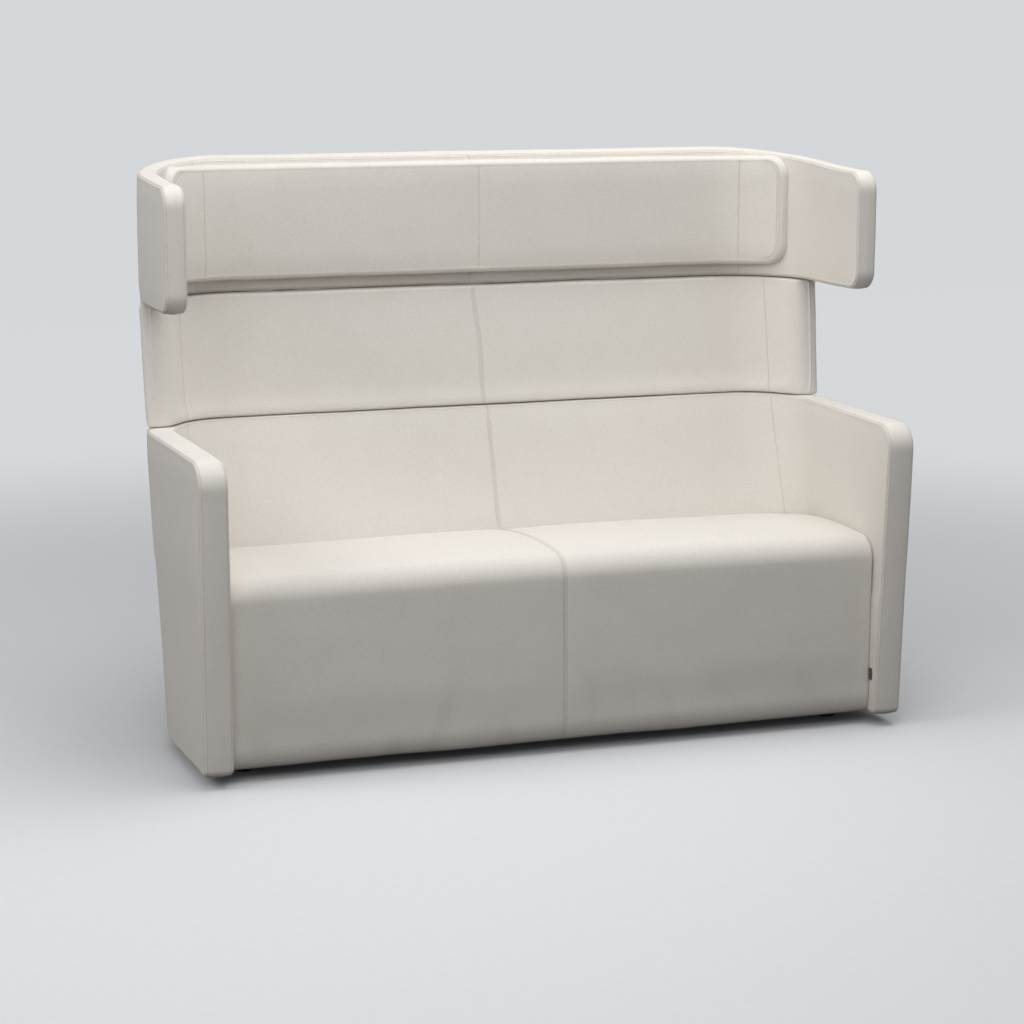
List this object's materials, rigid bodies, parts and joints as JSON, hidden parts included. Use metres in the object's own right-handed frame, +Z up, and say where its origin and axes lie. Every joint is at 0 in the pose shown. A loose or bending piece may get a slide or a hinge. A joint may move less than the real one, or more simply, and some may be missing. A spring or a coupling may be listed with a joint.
{
  "type": "high back settee",
  "caption": "Upholstered high-back settee: curved arms and back in one shell, block seat, upright neck panel and a wrap-round wing with a headrest pad.",
  "frame": {"origin": "on the floor, in the middle of the settee's width and depth", "axes": "+Z up, -Y towards the front where the sitter faces, +X to the right seen from the front"},
  "size_m": [1.644, 0.7215, 1.2816],
  "materials": {
    "felt": "cream wool felt, matt, fine nap",
    "foam": "upholstery foam",
    "plywood": "moulded birch plywood",
    "timber": "sawn timber, unfinished",
    "steel": "black painted flat steel",
    "stud": "zinc plated steel",
    "glide": "black moulded plastic",
    "webbing": "elastic webbing",
    "lining": "black non-woven lining",
    "tag": "black woven tape"
  },
  "bodies": {
    "root": {"corner_blocks": "timber", "dust_cover": "lining", "glide_front_left": "glide", "glide_front_right": "glide", "glide_rear_left": "glide", "glide_rear_right": "glide", "glide_stem_front_left": "stud", "glide_stem_front_right": "stud", "glide_stem_rear_left": "stud", "glide_stem_rear_right": "stud", "neck_cover_inner_back_left": "felt", "neck_cover_inner_back_right": "felt", "neck_cover_inner_side_left": "felt", "neck_cover_inner_side_right": "felt", "neck_cover_outer": "felt", "neck_foam_back": "foam", "neck_foam_corner_left": "foam", "neck_foam_corner_right": "foam", "neck_ply": "plywood", "pad_board": "plywood", "pad_cover_left": "felt", "pad_cover_middle": "felt", "pad_cover_right": "felt", "pad_foam": "foam", "rail_front": "timber", "rail_left": "timber", "rail_middle": "timber", "rail_rear": "timber", "rail_right": "timber", "seam_tag": "tag", "seat_cover_left": "felt", "seat_cover_right": "felt", "seat_foam": "foam", "shell_cover_boxing": "felt", "shell_cover_inner_back_left": "felt", "shell_cover_inner_back_right": "felt", "shell_cover_inner_side_left": "felt", "shell_cover_inner_side_right": "felt", "shell_cover_outer": "felt", "shell_foam_back": "foam", "shell_foam_corner_left": "foam", "shell_foam_corner_right": "foam", "shell_foam_side_left": "foam", "shell_foam_side_right": "foam", "shell_ply": "plywood", "upright_left": "steel", "upright_right": "steel", "webbing_cross": "webbing", "webbing_long": "webbing", "wing_cover_boxing": "felt", "wing_cover_inner_left": "felt", "wing_cover_inner_right": "felt", "wing_cover_outer": "felt", "wing_foam_back": "foam", "wing_foam_corner_left": "foam", "wing_foam_corner_right": "foam", "wing_foam_side_left": "foam", "wing_foam_side_right": "foam", "wing_ply": "plywood"}
  },
  "joints": []
}
